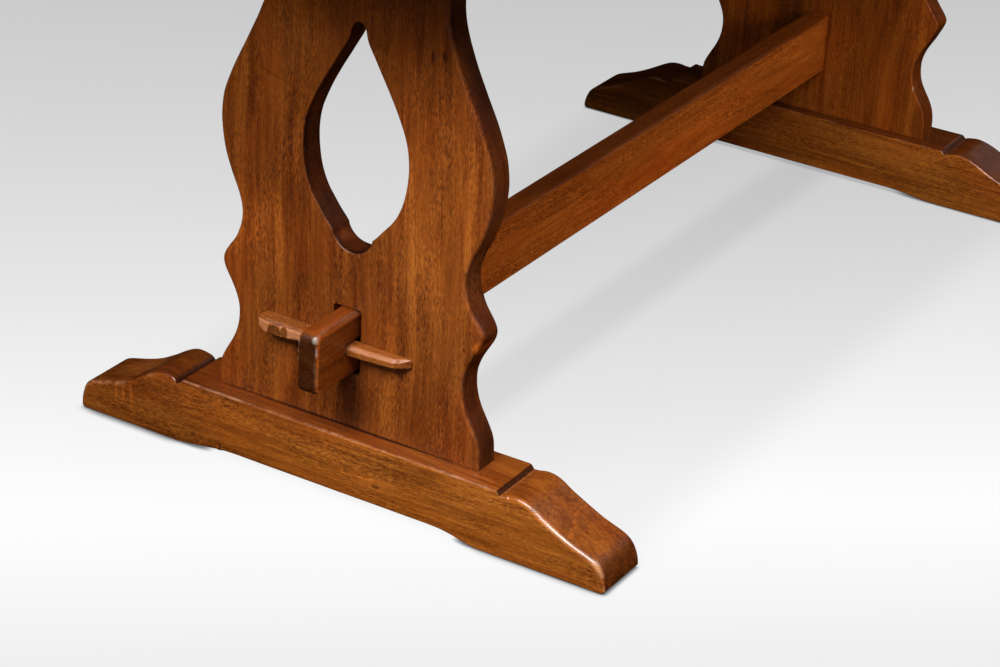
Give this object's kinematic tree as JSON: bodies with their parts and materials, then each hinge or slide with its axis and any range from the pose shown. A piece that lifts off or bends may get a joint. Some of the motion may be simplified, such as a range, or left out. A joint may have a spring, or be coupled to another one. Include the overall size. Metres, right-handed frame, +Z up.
{
  "type": "trestle dining table",
  "caption": "Trestle dining table: shaped end panels with a teardrop cut-out on sled feet, joined by a stretcher with keyed through tenons, carrying a planked top.",
  "frame": {"origin": "on the floor under the middle of the table", "axes": "+X along the table towards the near trestle, +Y across it, +Z up"},
  "size_m": [1.68, 0.76, 0.76],
  "materials": {
    "panel_wood": "satin waxed hardwood, vertical ribbon grain",
    "foot_wood": "satin waxed hardwood, grain along the foot, worn bright arrises",
    "stretcher_wood": "satin waxed hardwood, grain along the rail",
    "key_wood": "whittled hardwood, hand worn",
    "bearer_wood": "satin waxed hardwood",
    "top_wood": "satin polished hardwood boards",
    "peg_wood": "end grain pegs",
    "screw_steel": "zinc plated wood screws"
  },
  "bodies": {
    "table": {"foot_near": "foot_wood", "foot_far": "foot_wood", "end_panel_near": "panel_wood", "end_panel_far": "panel_wood", "top_bearer_near": "bearer_wood", "top_bearer_far": "bearer_wood", "stretcher": "stretcher_wood", "top_board_1": "top_wood", "top_board_2": "top_wood", "top_board_3": "top_wood", "top_board_4": "top_wood", "top_board_5": "top_wood", "breadboard_end_near": "top_wood", "breadboard_end_far": "top_wood", "breadboard_pegs_near": "peg_wood", "breadboard_pegs_far": "peg_wood", "bearer_screws_near": "screw_steel", "bearer_screws_far": "screw_steel"},
    "key_near": {"tusk_key_near": "key_wood"},
    "key_far": {"tusk_key_far": "key_wood"}
  },
  "joints": [
    {"name": "key_near_slide", "type": "slide", "parent": "table", "child": "key_near", "axis": [0, -1, 0], "range_m": [0, 0.09]},
    {"name": "key_far_slide", "type": "slide", "parent": "table", "child": "key_far", "axis": [0, 1, 0], "range_m": [0, 0.09]}
  ]
}
